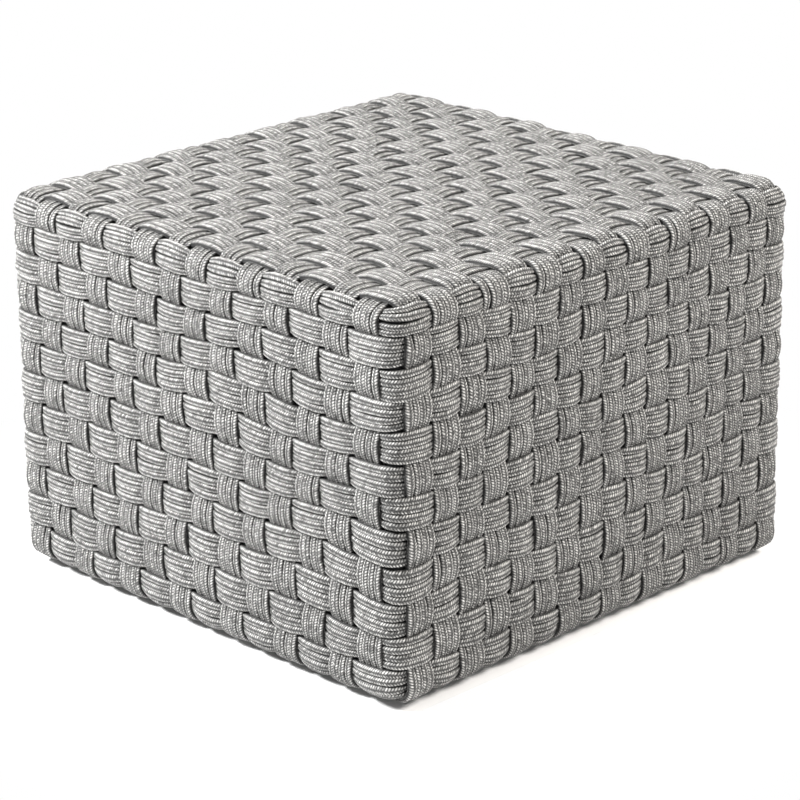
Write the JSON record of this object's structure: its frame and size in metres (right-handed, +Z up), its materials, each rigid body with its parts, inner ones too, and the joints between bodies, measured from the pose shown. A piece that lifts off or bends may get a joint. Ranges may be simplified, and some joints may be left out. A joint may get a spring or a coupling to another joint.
{
  "type": "outdoor ottoman footstool",
  "caption": "Box-shaped outdoor ottoman footstool: a basket weave of flat rope bands wraps the top and four walls of a hidden tube frame on low glides.",
  "frame": {"origin": "on the ground, under the middle of the footstool's box", "axes": "+Z up, +X along the width towards the right wall, -Y towards the front wall; the picture looks at the corner of the front and left walls"},
  "size_m": [0.6, 0.59, 0.423],
  "materials": {
    "rope": "heathered grey braided outdoor cord, laid side by side in flat bands, matt",
    "frame": "grey powder-coated aluminium tube, fine satin texture",
    "glide": "black moulded polyethylene, matt, scuffed underneath"
  },
  "bodies": {
    "root": {"row_band_01": "rope", "row_band_02": "rope", "row_band_03": "rope", "row_band_04": "rope", "row_band_05": "rope", "row_band_06": "rope", "row_band_07": "rope", "row_band_08": "rope", "row_band_09": "rope", "row_band_10": "rope", "row_band_11": "rope", "row_band_12": "rope", "front_band_01": "rope", "front_band_02": "rope", "front_band_03": "rope", "front_band_04": "rope", "front_band_05": "rope", "front_band_06": "rope", "front_band_07": "rope", "front_band_08": "rope", "front_band_09": "rope", "front_band_10": "rope", "front_band_11": "rope", "front_band_12": "rope", "front_band_13": "rope", "front_band_14": "rope", "front_band_15": "rope", "front_band_16": "rope", "front_band_17": "rope", "side_band_01": "rope", "side_band_02": "rope", "side_band_03": "rope", "side_band_04": "rope", "side_band_05": "rope", "side_band_06": "rope", "side_band_07": "rope", "side_band_08": "rope", "side_band_09": "rope", "side_band_10": "rope", "side_band_11": "rope", "side_band_12": "rope", "side_band_13": "rope", "side_band_14": "rope", "top_rail_loop": "frame", "bottom_rail_loop": "frame", "corner_post_front_left": "frame", "corner_post_front_right": "frame", "corner_post_back_left": "frame", "corner_post_back_right": "frame", "top_stretcher_left": "frame", "bottom_stretcher_left": "frame", "top_stretcher_right": "frame", "bottom_stretcher_right": "frame", "glide_front_left": "glide", "glide_front_right": "glide", "glide_back_left": "glide", "glide_back_right": "glide"}
  },
  "joints": []
}
